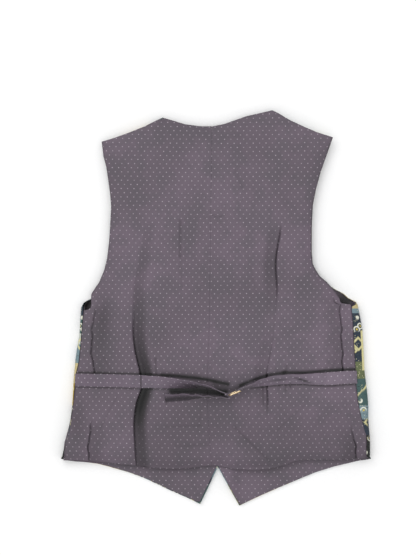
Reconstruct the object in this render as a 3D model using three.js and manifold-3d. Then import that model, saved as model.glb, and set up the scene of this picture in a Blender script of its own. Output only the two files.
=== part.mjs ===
// Waistcoat (dress vest) lying on its front with its back up, in millimetres.
// +X is the wearer's right, +Y runs to the neck, +Z is up, and the fronts rest on z = 0.
// The cloth is laid in flat layers. From the bottom: buttons, left front, right front, body space,
// back lining, back, and the cinch belt on top. Each front folds open along a line from neck to hem.
import * as THREE from 'three';
import { mergeVertices } from 'three/addons/utils/BufferGeometryUtils.js';
import Module from 'manifold-3d';

const wasm = await Module();
wasm.setup();

// Overall sizes
const overallLength = 674;
const hemWidth = 526;
const chestWidth = 464;
const shoulderSpan = 394;
const neckWidth = 186;

// Depths measured down from the neck points
const shoulderDrop = 47;
const neckDrop = 26;
const armholeDepth = 322;
const veeDepth = 277;

// Shape of the edges
const armholeInset = 24;
const armholeBinding = 5;
const hemRise = 68;
const cutawayRise = 66;
const tipSpread = 34;
const sideHollow = 6;
const foldInset = 73;
const cornerRadius = 8;
const hemCornerRise = 10;

// Cloth
const shellThickness = 1.0;
const canvasThickness = 0.5;
const liningThickness = 0.6;
const bodySpace = 6.8;
const seamGap = 0.4;
const layerGap = 0.3;
const lipWidth = 6;

// Front closing
const overlap = 15;
const buttonCount = 5;
const buttonRadius = 8;
const buttonThickness = 3.2;
const buttonHoleRadius = 0.9;
const buttonHoleSpread = 2.1;
const threadRadius = 0.9;
const buttonholeLength = 18;
const buttonholeWidth = 2.6;
const bandWidth = 29;
const firstButtonDrop = 12;
const lastButtonRise = 20;
const rampWidth = 24;

// Inside the fronts
const canvasWidth = 75;
const facingWidth = 85;

// Welt pockets
const weltLength = 92;
const weltHeight = 20;
const weltFoldGap = 12;
const weltRiseAboveHem = 111;
const weltTilt = THREE.MathUtils.degToRad(5);
const bagDepth = 96;

// Cinch belt and buckle
const beltRiseAboveHem = 147;
const beltWidth = 22;
const beltEndWidth = 18;
const beltThickness = 1.0;
const beltEndInset = 3;
const tackSpacing = 124;
const leftDip = 3;
const rightRise = 3;
const flatShare = 0.8;
const tackLength = 20;
const tackWidth = 1.6;
const tackThickness = 0.6;
const buckleX = 24;
const buckleDrop = 23.5;
const buckleYaw = THREE.MathUtils.degToRad(24);
const buckleLength = 18.6;
const barRadius = 1.1;
const barFit = 0.4;
const strapFit = 0.5;
const lugWall = 1.0;
const tongueWidth = 2.4;
const prongRadius = 0.6;
const prongOverhang = 2;
const prongSlot = 3.4;
const slottedLead = 8;
const slotStart = -3.4;
const slotEnd = 13;
const tailStart = -5;
const loopLength = 7;
const tailLength = 106;
const tailSlope = THREE.MathUtils.degToRad(6.5);
const tailEndRoll = THREE.MathUtils.degToRad(48);

// Blank neck label
const labelWidth = 44;
const labelHeight = 16;
const labelThickness = 0.4;
const labelDrop = 24;

// Heights of the layers, all worked out from the cloth
const canvasLift = shellThickness + layerGap;
const liningLift = canvasLift + canvasThickness + layerGap;
const frontThickness = liningLift + liningThickness;
const leftLift = buttonThickness + layerGap;
const rightLift = leftLift + frontThickness + layerGap;
const labelBase = rightLift + frontThickness + bodySpace - labelThickness - layerGap;
const backLiningBase = rightLift + frontThickness + bodySpace;
const backBase = backLiningBase + liningThickness + layerGap;
const backTop = backBase + shellThickness;
const strapBase = backTop + layerGap;

// Places in plan, for the half with x above zero
const neckPoint = new THREE.Vector2(neckWidth / 2, overallLength / 2);
const shoulderTip = new THREE.Vector2(shoulderSpan / 2, neckPoint.y - shoulderDrop);
const underarm = new THREE.Vector2(chestWidth / 2, neckPoint.y - armholeDepth);
const tip = new THREE.Vector2(tipSpread, -overallLength / 2);
const hemCorner = new THREE.Vector2(hemWidth / 2, tip.y + hemRise + hemCornerRise);
const hemY = tip.y + hemRise;
const notch = new THREE.Vector2(0, tip.y + cutawayRise);
const foldTop = neckPoint.clone();
const foldBottom = new THREE.Vector2(hemWidth / 2 - foldInset, hemY);
const veeBottom = new THREE.Vector2(-overlap, neckPoint.y - veeDepth);
const cutawayTop = new THREE.Vector2(-overlap, notch.y + (overlap * cutawayRise) / tipSpread);
const beltY = hemY + beltRiseAboveHem;

const paint = (color, roughness, metalness = 0) => {
  return new THREE.MeshStandardMaterial({ color, roughness, metalness });
};
const liningCloth = paint(0x6d636c, 0.6);
const printCloth = paint(0x3e5756, 0.8);
const printClothDark = paint(0x26313e, 0.8);
const facingCloth = paint(0x2f3438, 0.85);
const canvasCloth = paint(0xb9ab92, 0.95);
const pocketCloth = paint(0x4a4550, 0.85);
const threadPaint = paint(0x2b2a30, 0.9);
const buttonPaint = paint(0x1d1c20, 0.35);
const brass = paint(0xc9a45a, 0.3, 1);
const labelCloth = paint(0x2a2b33, 0.7);

const vest = new THREE.Group();

// Turns a closed geometry into a solid, and a solid back into a named mesh.
function solid(geometry) {
  const bare = geometry.clone();
  bare.deleteAttribute('normal');
  bare.deleteAttribute('uv');
  const welded = mergeVertices(bare, 1e-4);
  return new wasm.Manifold(new wasm.Mesh({
    numProp: 3,
    vertProperties: new Float32Array(welded.attributes.position.array),
    triVerts: new Uint32Array(welded.index.array),
  }));
}

function addMesh(name, body, material) {
  const { vertProperties, triVerts } = body.getMesh();
  const geometry = new THREE.BufferGeometry();
  geometry.setAttribute('position', new THREE.BufferAttribute(vertProperties, 3));
  geometry.setIndex(new THREE.BufferAttribute(triVerts, 1));
  geometry.computeVertexNormals();
  const mesh = new THREE.Mesh(geometry, material);
  mesh.name = name;
  vest.add(mesh);
}

// An upright prism on a plan outline.
function prism(outline, base, height) {
  const geometry = new THREE.ExtrudeGeometry(new THREE.Shape(outline), {
    depth: height,
    bevelEnabled: false,
  });
  geometry.translate(0, 0, base);
  return solid(geometry);
}

function block(x, y, z, sizeX, sizeY, sizeZ) {
  return solid(new THREE.BoxGeometry(sizeX, sizeY, sizeZ).translate(x, y, z));
}

function post(x, y, radius, base, height, sides = 16) {
  const geometry = new THREE.CylinderGeometry(radius, radius, height, sides);
  geometry.rotateX(Math.PI / 2);
  return solid(geometry.translate(x, y, base + height / 2));
}

// A plan outline drawn for the right half, turned over for the left one.
function onSide(side, points) {
  if (side > 0) return points;
  return points.map((p) => new THREE.Vector2(-p.x, p.y)).reverse();
}

// The height of a front's outer face: raised over the buttons at the centre, then flat on z = 0.
function frontSheet(side, lift, base, thickness) {
  const rampStart = overlap + 7;
  const profile = [
    [-overlap - 10, lift],
    [rampStart, lift],
    [rampStart + rampWidth, 0],
    [hemWidth, 0],
  ];
  const lower = profile.map(([x, z]) => new THREE.Vector2(x, z + base));
  const upper = profile.map(([x, z]) => new THREE.Vector2(x, z + base + thickness)).reverse();
  const geometry = new THREE.ExtrudeGeometry(new THREE.Shape([...lower, ...upper]), {
    depth: overallLength * 2,
    bevelEnabled: false,
  });
  geometry.rotateX(Math.PI / 2);
  geometry.translate(0, overallLength, 0);
  const sheet = solid(geometry);
  return side > 0 ? sheet : sheet.mirror([1, 0, 0]);
}

// Points of the outer side, from the underarm down to the rounded hem corner.
function sideCurve(inset) {
  const middle = new THREE.Vector2(
    (underarm.x + hemCorner.x) / 2 - sideHollow / 2,
    (underarm.y + hemCorner.y) / 2,
  );
  const curve = new THREE.SplineCurve([underarm, middle, hemCorner]);
  return curve.getPoints(8).map((p) => new THREE.Vector2(p.x - inset, p.y));
}

// Points of the armhole edge, from the shoulder tip down to the underarm.
function armholeCurve(inset) {
  const depth = shoulderTip.y - underarm.y;
  const innermost = shoulderTip.x - armholeInset;
  const curve = new THREE.SplineCurve([
    shoulderTip,
    new THREE.Vector2(innermost + armholeInset * 0.4, shoulderTip.y - depth * 0.25),
    new THREE.Vector2(innermost, shoulderTip.y - depth * 0.5),
    new THREE.Vector2(innermost + armholeInset * 0.25, shoulderTip.y - depth * 0.76),
    new THREE.Vector2((innermost + underarm.x) / 2 + 4, underarm.y + depth * 0.09),
    underarm,
  ]);
  return curve.getPoints(14).map((p) => new THREE.Vector2(p.x - inset, p.y));
}

// A point moved square to the shoulder line, into the cloth.
function belowShoulder(point, distance) {
  const along = shoulderTip.clone().sub(neckPoint).normalize();
  return new THREE.Vector2(point.x + along.y * distance, point.y - along.x * distance);
}

// Moves a point square to the fold line; positive is towards the side.
function besideFold(point, distance) {
  const along = foldTop.clone().sub(foldBottom).normalize();
  return new THREE.Vector2(point.x + along.y * distance, point.y - along.x * distance);
}

// Where a line along the shoulder, set below it, meets the fold line's fixed side.
function shoulderAtFold(distance) {
  const shoulder = belowShoulder(neckPoint, distance);
  const along = shoulderTip.clone().sub(neckPoint);
  const fold = besideFold(foldTop, seamGap);
  const down = foldBottom.clone().sub(foldTop);
  const t = fold.clone().sub(shoulder).cross(down) / along.cross(down);
  return shoulder.addScaledVector(along, t);
}

// One half of the back, inset from the side and the shoulder by what those walls take.
function backOutline(extraInset) {
  const wallInset = shellThickness + layerGap + extraInset;
  const sideInset = lipWidth + layerGap + extraInset;
  const neckCentre = new THREE.Vector2(seamGap / 2, neckPoint.y - neckDrop - extraInset);
  const neckCurve = new THREE.QuadraticBezierCurve(
    neckCentre,
    new THREE.Vector2(neckPoint.x * 0.6, neckCentre.y),
    belowShoulder(neckPoint, wallInset),
  ).getPoints(6);
  const armhole = armholeCurve(armholeBinding + extraInset).slice(1, -1);
  const side = sideCurve(sideInset);
  return [
    ...neckCurve,
    belowShoulder(new THREE.Vector2(shoulderTip.x - armholeBinding, shoulderTip.y), wallInset + 1),
    ...armhole,
    ...side,
    new THREE.Vector2(hemCorner.x - sideInset - cornerRadius, hemY + extraInset),
    new THREE.Vector2(hemCorner.x * 0.4, hemY - 5 + extraInset),
    new THREE.Vector2(seamGap / 2, hemY + extraInset),
  ];
}

// The fixed outer part of a front, from the fold line to the side, up over the shoulder.
function sideOutline(inset) {
  return [
    shoulderAtFold(inset),
    belowShoulder(shoulderTip, inset),
    ...armholeCurve(0).slice(1, -1),
    ...sideCurve(inset),
    new THREE.Vector2(hemCorner.x - inset - cornerRadius, hemY),
    besideFold(foldBottom, seamGap),
  ];
}

// The part of a front that folds open, from the fold line to its front edge.
function frontOutline() {
  const hem = new THREE.QuadraticBezierCurve(
    tip,
    new THREE.Vector2((tip.x + foldBottom.x) / 2, hemY - hemRise * 0.32),
    besideFold(foldBottom, -seamGap),
  ).getPoints(5);
  return [
    besideFold(foldTop, -seamGap),
    ...hem.reverse(),
    cutawayTop,
    veeBottom,
  ];
}

// The strip of plan that lies outside the facing, used to part facing and lining.
function liningRegion(shift) {
  const far = hemWidth;
  return [
    new THREE.Vector2(facingWidth - overlap + shift, -overallLength),
    new THREE.Vector2(far, -overallLength),
    new THREE.Vector2(far, overallLength),
    new THREE.Vector2(neckPoint.x + facingWidth + shift, neckPoint.y),
    new THREE.Vector2(facingWidth - overlap + shift, veeBottom.y),
  ];
}

// Everything with x (in the right half's sense) below a limit.
function centreStrip(limit) {
  return [
    new THREE.Vector2(-overlap * 2, -overallLength),
    new THREE.Vector2(limit, -overallLength),
    new THREE.Vector2(limit, overallLength),
    new THREE.Vector2(-overlap * 2, overallLength),
  ];
}

const columnHeight = 200;
const column = (side, outline) => prism(onSide(side, outline), -columnHeight / 2, columnHeight);

const weltY = hemY + weltRiseAboveHem;
const foldAtWelt = foldTop.clone().lerp(foldBottom, (foldTop.y - weltY) / (foldTop.y - foldBottom.y));
const weltCentreX = foldAtWelt.x - weltFoldGap - weltLength / 2;

function weltOutline(clearance) {
  const halfLength = weltLength / 2 + clearance;
  const halfHeight = weltHeight / 2 + clearance;
  const centre = new THREE.Vector2(weltCentreX, weltY);
  const corners = [[-1, -1], [1, -1], [1, 1], [-1, 1]];
  return corners.map(([u, v]) => {
    const corner = new THREE.Vector2(weltCentreX + u * halfLength, weltY + v * halfHeight);
    return corner.rotateAround(centre, weltTilt);
  });
}

function bagOutline() {
  const half = weltLength / 2;
  const inner = facingWidth - overlap - 6;
  const top = weltY + weltHeight / 2;
  const bottom = weltY - bagDepth;
  return [
    new THREE.Vector2(inner, top),
    new THREE.Vector2(inner, bottom),
    new THREE.Vector2(weltCentreX + half, bottom),
    new THREE.Vector2(weltCentreX + half, top),
  ];
}

// The back: two outer halves joined at the centre seam, over two lining halves and a blank label.
function buildBack(side, word) {
  const outer = prism(onSide(side, backOutline(0)), backBase, shellThickness);
  addMesh(`back_panel_${word}`, outer, liningCloth);
  const lining = prism(onSide(side, backOutline(1)), backLiningBase, liningThickness);
  addMesh(`back_lining_${word}`, lining, facingCloth);
}

function buildLabel() {
  const y = neckPoint.y - neckDrop - labelDrop;
  const z = labelBase + labelThickness / 2;
  addMesh('neck_label', block(0, y, z, labelWidth, labelHeight, labelThickness), labelCloth);
}

// The fixed outer part of a front, with the walls that rise to the back at shoulder and side.
function buildSide(side, word) {
  const outer = sideCurve(0);
  const wall = [...outer, ...sideCurve(shellThickness).reverse()];
  const lip = [...outer, ...sideCurve(lipWidth).reverse()];
  const shoulder = [
    shoulderAtFold(0),
    shoulderTip,
    belowShoulder(shoulderTip, shellThickness),
    shoulderAtFold(shellThickness),
  ];
  const shell = prism(onSide(side, sideOutline(0)), 0, shellThickness)
    .add(prism(onSide(side, wall), 0, backTop))
    .add(prism(onSide(side, lip), backBase, shellThickness))
    .add(prism(onSide(side, shoulder), 0, backTop));
  addMesh(`${word}_side_shell`, shell, printCloth);
  const inset = shellThickness + layerGap;
  const lining = prism(onSide(side, sideOutline(inset)), liningLift, liningThickness);
  addMesh(`${word}_side_lining`, lining, facingCloth);
}

// A front that folds open: shell with its welt pocket, canvas, facing and lining.
function buildFront(side, word, lift, innerLimit) {
  const front = column(side, frontOutline());
  const centre = column(side, centreStrip(innerLimit));
  const body = front.subtract(centre);
  const sheet = (base, thickness) => frontSheet(side, lift, base, thickness).intersect(body);

  const shell = sheet(0, shellThickness).subtract(column(side, weltOutline(layerGap)));
  addMesh(`${word}_front_shell`, shell, printClothDark);
  const welt = prism(onSide(side, weltOutline(0)), 0, shellThickness);
  addMesh(`${word}_welt`, welt, printCloth);
  const bag = prism(onSide(side, bagOutline()), canvasLift, canvasThickness);
  addMesh(`${word}_pocket_bag`, bag, pocketCloth);

  const canvasStrip = column(side, centreStrip(canvasWidth - overlap));
  addMesh(`${word}_front_canvas`, sheet(canvasLift, canvasThickness).intersect(canvasStrip), canvasCloth);

  const facing = sheet(liningLift, liningThickness).subtract(column(side, liningRegion(0)));
  addMesh(`${word}_front_facing`, facing, facingCloth);
  const lining = sheet(liningLift, liningThickness).intersect(column(side, liningRegion(seamGap)));
  addMesh(`${word}_front_lining`, lining, liningCloth);
}

// Centres of the buttons, evenly spaced down the closing.
const firstButtonY = veeBottom.y - firstButtonDrop;
const lastButtonY = cutawayTop.y + lastButtonRise;
const buttonPlaces = Array.from({ length: buttonCount }, (unused, i) => {
  return firstButtonY + ((lastButtonY - firstButtonY) * i) / (buttonCount - 1);
});

// The left front's edge, a strip of full thickness with one slit for each button.
function buildButtonholeBand() {
  const limit = bandWidth - overlap - seamGap;
  const strip = column(-1, frontOutline()).intersect(column(-1, centreStrip(limit)));
  const band = frontSheet(-1, leftLift, 0, frontThickness).intersect(strip);
  const slits = buttonPlaces.map((y) => {
    return block(-1, y, leftLift, buttonholeLength, buttonholeWidth, frontThickness * 4);
  });
  addMesh('left_buttonhole_band', slits.reduce((cloth, slit) => cloth.subtract(slit), band), printClothDark);
}

// One four-hole button, and the thread shank that holds it to the right front.
function buildButton(y, number) {
  const holes = [[-1, -1], [1, -1], [1, 1], [-1, 1]].map(([u, v]) => {
    return post(u * buttonHoleSpread, y + v * buttonHoleSpread, buttonHoleRadius, -1, buttonThickness + 2, 8);
  });
  const disc = post(0, y, buttonRadius, 0, buttonThickness, 28);
  addMesh(`button_${number}`, holes.reduce((body, hole) => body.subtract(hole), disc), buttonPaint);
  const thread = post(0, y, threadRadius, leftLift, frontThickness, 10);
  addMesh(`button_thread_${number}`, thread, threadPaint);
}

// A strap swept through stations that each give a place, a roll about the strap and a width.
function ribbon(stations) {
  const rings = stations.map((station, i) => {
    const before = stations[Math.max(i - 1, 0)];
    const after = stations[Math.min(i + 1, stations.length - 1)];
    const along = new THREE.Vector2(after.x - before.x, after.y - before.y).normalize();
    const across = new THREE.Vector3(-along.y, along.x, 0);
    const up = new THREE.Vector3(0, 0, 1);
    const wide = across.clone().multiplyScalar(Math.cos(station.roll)).addScaledVector(up, Math.sin(station.roll));
    const thick = across.clone().multiplyScalar(-Math.sin(station.roll)).addScaledVector(up, Math.cos(station.roll));
    const rise = (Math.sin(station.roll) * station.width + Math.cos(station.roll) * beltThickness) / 2;
    const centre = new THREE.Vector3(station.x, station.y, station.base + rise);
    return [[-1, -1], [1, -1], [1, 1], [-1, 1]].map(([u, v]) => {
      return centre.clone()
        .addScaledVector(wide, (u * station.width) / 2)
        .addScaledVector(thick, (v * beltThickness) / 2);
    });
  });
  const positions = rings.flat().flatMap((p) => [p.x, p.y, p.z]);
  const index = [0, 2, 1, 0, 3, 2];
  for (let i = 0; i < rings.length - 1; i += 1) {
    for (let k = 0; k < 4; k += 1) {
      const a = i * 4 + k;
      const b = i * 4 + ((k + 1) % 4);
      index.push(a, b, b + 4, a, b + 4, a + 4);
    }
  }
  const last = (rings.length - 1) * 4;
  index.push(last, last + 1, last + 2, last, last + 2, last + 3);
  const geometry = new THREE.BufferGeometry();
  geometry.setAttribute('position', new THREE.Float32BufferAttribute(positions, 3));
  geometry.setIndex(index);
  return solid(geometry);
}

// The buckle stands on its edge. Its own plan axes: u along the frame, w to its left.
const buckleY = beltY - buckleDrop;
const halfOpening = beltEndWidth / 2 + barFit;
const buckleHeight = 2 * (halfOpening + 2 * barRadius);
const buckleMiddle = strapBase + buckleHeight / 2;
const uprightBase = buckleMiddle - beltEndWidth / 2;
const strapAtFrontBar = barRadius + strapFit + beltThickness / 2;
const lugRadius = barRadius + barFit + lugWall;
const strapAtHingeBar = lugRadius + strapFit + beltThickness / 2;
const upright = Math.PI / 2;

function inBuckle(u, w) {
  const place = new THREE.Vector2(u, w).rotateAround(new THREE.Vector2(0, 0), buckleYaw);
  return new THREE.Vector2(buckleX + place.x, buckleY + place.y);
}

function station(place, roll, width, base) {
  return { x: place.x, y: place.y, roll, width, base };
}

function strapOuterX(y) {
  const curve = sideCurve(lipWidth + layerGap + beltEndInset);
  const below = curve.findIndex((p) => p.y < y);
  const upper = curve[below - 1];
  const lower = curve[below];
  return upper.x + ((lower.x - upper.x) * (upper.y - y)) / (upper.y - lower.y);
}

// A run of stations between two places, turning from one roll to another.
function run(from, to, rollFrom, rollTo, widthFrom, widthTo, steps, baseFrom, baseTo) {
  return Array.from({ length: steps }, (unused, i) => {
    const t = i / steps;
    const mix = (a, b) => a + (b - a) * t;
    return station(
      from.clone().lerp(to, t),
      mix(rollFrom, rollTo),
      mix(widthFrom, widthTo),
      mix(baseFrom, baseTo),
    );
  });
}

// An upright strip of strap between two places in plan, with its own heights at each end.
function blade(from, to, startHeights, endHeights) {
  const length = from.distanceTo(to);
  const outline = [[0, startHeights[0]], [length, endHeights[0]], [length, endHeights[1]], [0, startHeights[1]]];
  const geometry = new THREE.ExtrudeGeometry(new THREE.Shape(outline.map(([u, z]) => new THREE.Vector2(u, z))), {
    depth: beltThickness,
    bevelEnabled: false,
  });
  geometry.rotateX(Math.PI / 2);
  geometry.translate(0, beltThickness / 2, 0);
  geometry.rotateZ(Math.atan2(to.y - from.y, to.x - from.x));
  geometry.translate(from.x, from.y, 0);
  return solid(geometry);
}

// A strap that lies flat to its tack, then narrows while its middle rises onto its edge.
function turningStrap(outer, dart, end) {
  const across = (place, half) => [[place.x, place.y + half], [place.x, place.y - half]];
  const narrow = dart.clone().lerp(end, flatShare);
  const [upper, lower] = [outer, dart, narrow].reduce(([top, low], place, k) => {
    const [a, b] = across(place, k < 2 ? beltWidth / 2 : beltThickness);
    return [[...top, new THREE.Vector2(...a)], [...low, new THREE.Vector2(...b)]];
  }, [[], []]);
  const outline = [...upper, ...lower.reverse()];
  const flat = prism(THREE.ShapeUtils.area(outline) > 0 ? outline : outline.reverse(), strapBase, beltThickness);
  return flat.add(blade(
    dart,
    end,
    [strapBase, strapBase + beltThickness],
    [uprightBase, uprightBase + beltEndWidth],
  ));
}

function buildLeftStrap() {
  const outer = new THREE.Vector2(-strapOuterX(beltY), beltY);
  const dart = new THREE.Vector2(-tackSpacing, beltY - leftDip);
  const pin = inBuckle(0, 0);
  const away = dart.clone().sub(pin).normalize();
  const end = pin.clone().addScaledVector(away, loopLength + layerGap);
  addMesh('belt_strap_left', turningStrap(outer, dart, end), liningCloth);
  buildLoop(pin, away);
}

// The strap's folded end: a stitched stub with two lugs round the buckle's hinge bar.
function buildLoop(pin, away) {
  const side = new THREE.Vector2(-away.y, away.x).multiplyScalar(beltThickness / 2);
  const near = pin.clone().addScaledVector(away, barRadius + barFit + lugWall / 2);
  const clear = pin.clone().addScaledVector(away, lugRadius + barFit);
  const far = pin.clone().addScaledVector(away, loopLength);
  const plate = (from) => [
    from.clone().sub(side),
    from.clone().add(side),
    far.clone().add(side),
    far.clone().sub(side),
  ];
  const lugHeight = (beltEndWidth - tongueWidth) / 2 - barFit;
  const upperBase = uprightBase + beltEndWidth - lugHeight;
  const bore = post(pin.x, pin.y, barRadius + barFit, 0, columnHeight, 20);
  const lugs = [uprightBase, upperBase].map((base) => {
    return post(pin.x, pin.y, lugRadius, base, lugHeight, 20)
      .add(prism(plate(near), base, lugHeight))
      .subtract(bore);
  });
  const stub = prism(plate(clear), uprightBase, beltEndWidth);
  addMesh('belt_loop_left', lugs[0].add(stub).add(lugs[1]), liningCloth);
}

function buildRightStrap() {
  const outer = new THREE.Vector2(strapOuterX(beltY + rightRise), beltY + rightRise);
  const dart = new THREE.Vector2(tackSpacing, beltY);
  const beforeFrame = inBuckle(buckleLength + slottedLead + layerGap, strapAtFrontBar);
  addMesh('belt_strap_right', turningStrap(outer, dart, beforeFrame), liningCloth);
}

// The stretch of strap inside the buckle: past the front bar, slotted for the prong, over the loop.
function buildSlottedStrap() {
  const half = beltThickness / 2;
  const line = [
    [buckleLength + slottedLead, strapAtFrontBar],
    [buckleLength, strapAtFrontBar],
    [0, -strapAtHingeBar],
    [tailStart, -strapAtHingeBar],
  ];
  const edge = (offset) => line.map(([u, w]) => inBuckle(u, w + offset));
  const cloth = prism([...edge(-half), ...edge(half).reverse()].reverse(), uprightBase, beltEndWidth);
  const slotEnds = [[slotStart, -8], [slotEnd, -8], [slotEnd, 8], [slotStart, 8]];
  const slot = prism(slotEnds.map(([u, w]) => inBuckle(u, w)), buckleMiddle - prongSlot / 2, prongSlot);
  addMesh('belt_slotted_part', cloth.subtract(slot), liningCloth);
}

function buildTail() {
  const start = inBuckle(tailStart - layerGap, -strapAtHingeBar);
  const along = new THREE.Vector2(-Math.cos(tailSlope), -Math.sin(tailSlope));
  const end = start.clone().addScaledVector(along, tailLength);
  addMesh('belt_tail', ribbon([
    ...run(start, end, upright, tailEndRoll, beltEndWidth, beltEndWidth, 6, uprightBase, strapBase),
    station(end, tailEndRoll, beltEndWidth, strapBase),
  ]), liningCloth);
}

function buildBuckle() {
  const low = buckleMiddle - buckleHeight / 2;
  const high = buckleMiddle + buckleHeight / 2 - 2 * barRadius;
  const hinge = inBuckle(0, 0);
  const front = inBuckle(buckleLength, 0);
  const railOutline = [
    inBuckle(0, -barRadius),
    inBuckle(buckleLength, -barRadius),
    inBuckle(buckleLength, barRadius),
    inBuckle(0, barRadius),
  ];
  const frame = [
    post(front.x, front.y, barRadius, low, buckleHeight, 14),
    prism(railOutline, low, 2 * barRadius),
    prism(railOutline, high, 2 * barRadius),
  ].reduce((body, bar) => body.add(bar), post(hinge.x, hinge.y, barRadius, low, buckleHeight, 14));
  addMesh('buckle_frame', frame, brass);

  const hubBase = buckleMiddle - tongueWidth / 2;
  const prongW = -(barRadius + barFit + prongRadius);
  const prongLength = buckleLength + prongOverhang;
  const prong = new THREE.CylinderGeometry(prongRadius, prongRadius, prongLength, 10);
  prong.rotateZ(Math.PI / 2);
  prong.translate(prongLength / 2, prongW, 0);
  prong.rotateZ(buckleYaw);
  prong.translate(buckleX, buckleY, buckleMiddle);
  const hub = post(hinge.x, hinge.y, lugRadius, hubBase, tongueWidth, 18);
  const bore = post(hinge.x, hinge.y, barRadius + barFit, 0, columnHeight, 18);
  addMesh('buckle_tongue', hub.add(solid(prong)).subtract(bore), brass);
}

// Bars of thread that hold the straps to the back beside the darts.
function buildTack(side, word) {
  const y = side < 0 ? beltY - leftDip : beltY;
  const x = side * (tackSpacing + 3);
  const z = strapBase + beltThickness + layerGap + tackThickness / 2;
  addMesh(`belt_tack_${word}`, block(x, y, z, tackWidth, tackLength, tackThickness), threadPaint);
}

buildBack(-1, 'left');
buildBack(1, 'right');
buildLabel();
buildSide(-1, 'left');
buildSide(1, 'right');
buildFront(-1, 'left', leftLift, bandWidth - overlap);
buildFront(1, 'right', rightLift, -overlap - seamGap);
buildButtonholeBand();
buttonPlaces.forEach((y, i) => buildButton(y, i + 1));
buildLeftStrap();
buildRightStrap();
buildSlottedStrap();
buildTail();
buildBuckle();
buildTack(-1, 'left');
buildTack(1, 'right');

export default vest;
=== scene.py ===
import math

import bpy
import numpy as np
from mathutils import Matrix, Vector, noise


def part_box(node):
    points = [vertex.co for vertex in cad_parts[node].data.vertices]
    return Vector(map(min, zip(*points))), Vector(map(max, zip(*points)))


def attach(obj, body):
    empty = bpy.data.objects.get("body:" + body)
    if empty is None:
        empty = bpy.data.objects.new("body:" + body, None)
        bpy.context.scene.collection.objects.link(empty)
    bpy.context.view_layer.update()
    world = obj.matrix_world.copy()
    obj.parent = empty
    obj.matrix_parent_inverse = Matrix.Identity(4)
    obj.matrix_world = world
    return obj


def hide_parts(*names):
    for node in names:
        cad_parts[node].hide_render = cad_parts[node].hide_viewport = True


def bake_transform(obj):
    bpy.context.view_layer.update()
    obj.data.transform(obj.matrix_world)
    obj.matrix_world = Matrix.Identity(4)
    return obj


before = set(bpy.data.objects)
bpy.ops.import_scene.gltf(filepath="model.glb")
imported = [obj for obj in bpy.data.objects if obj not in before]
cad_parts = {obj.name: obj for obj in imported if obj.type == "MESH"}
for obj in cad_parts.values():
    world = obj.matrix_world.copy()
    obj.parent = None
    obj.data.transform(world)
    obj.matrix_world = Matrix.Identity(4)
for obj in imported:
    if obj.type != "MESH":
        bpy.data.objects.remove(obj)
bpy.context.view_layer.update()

MM = 0.001

# Camera: straight above the waistcoat, upright, with the whole garment and a margin of floor in view.
# A long lens from 2.2 m keeps the edges of the garment from leaning.
camera_height = 2.2
view_length = 0.9435
camera_data = bpy.data.cameras.new("camera")
camera_data.lens = camera_data.sensor_width * camera_height / view_length
camera = bpy.data.objects.new("camera", camera_data)
camera.location = (-0.01275, 0.0527, camera_height + 0.018)
bpy.context.scene.collection.objects.link(camera)
bpy.context.scene.camera = camera
bpy.context.scene.view_settings.view_transform = "Standard"


# Floor: a plain white sheet on a table, and the soft light of a bright room over it.
# From below it can be looked through, and it takes no part in bounced light, so that what is there is lit.
class Value:
    """A number in one finish's node tree. Arithmetic on it adds the Math nodes."""

    def __init__(self, finish, socket):
        self.finish = finish
        self.socket = socket

    def math(self, operation, *others):
        return self.finish.add("ShaderNodeMath", {"operation": operation}, self, *others)

    def __add__(self, other):
        return self.math("ADD", other)

    def __sub__(self, other):
        return self.math("SUBTRACT", other)

    def __mul__(self, other):
        return self.math("MULTIPLY", other)

    def __truediv__(self, other):
        return self.math("DIVIDE", other)

    __radd__ = __add__
    __rmul__ = __mul__

    def __rsub__(self, other):
        return self.finish.add("ShaderNodeMath", {"operation": "SUBTRACT"}, other, self)

    def floor(self):
        return self.math("FLOOR")

    def fract(self):
        return self.math("FRACT")

    def size(self):
        return self.math("ABSOLUTE")

    def least(self, other):
        return self.math("MINIMUM", other)

    def between(self, start, end):
        """0 at start and 1 at end, with soft ends."""
        settings = {"interpolation_type": "SMOOTHSTEP"}
        return self.finish.add("ShaderNodeMapRange", settings, self, start, end, 0.0, 1.0)


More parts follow.
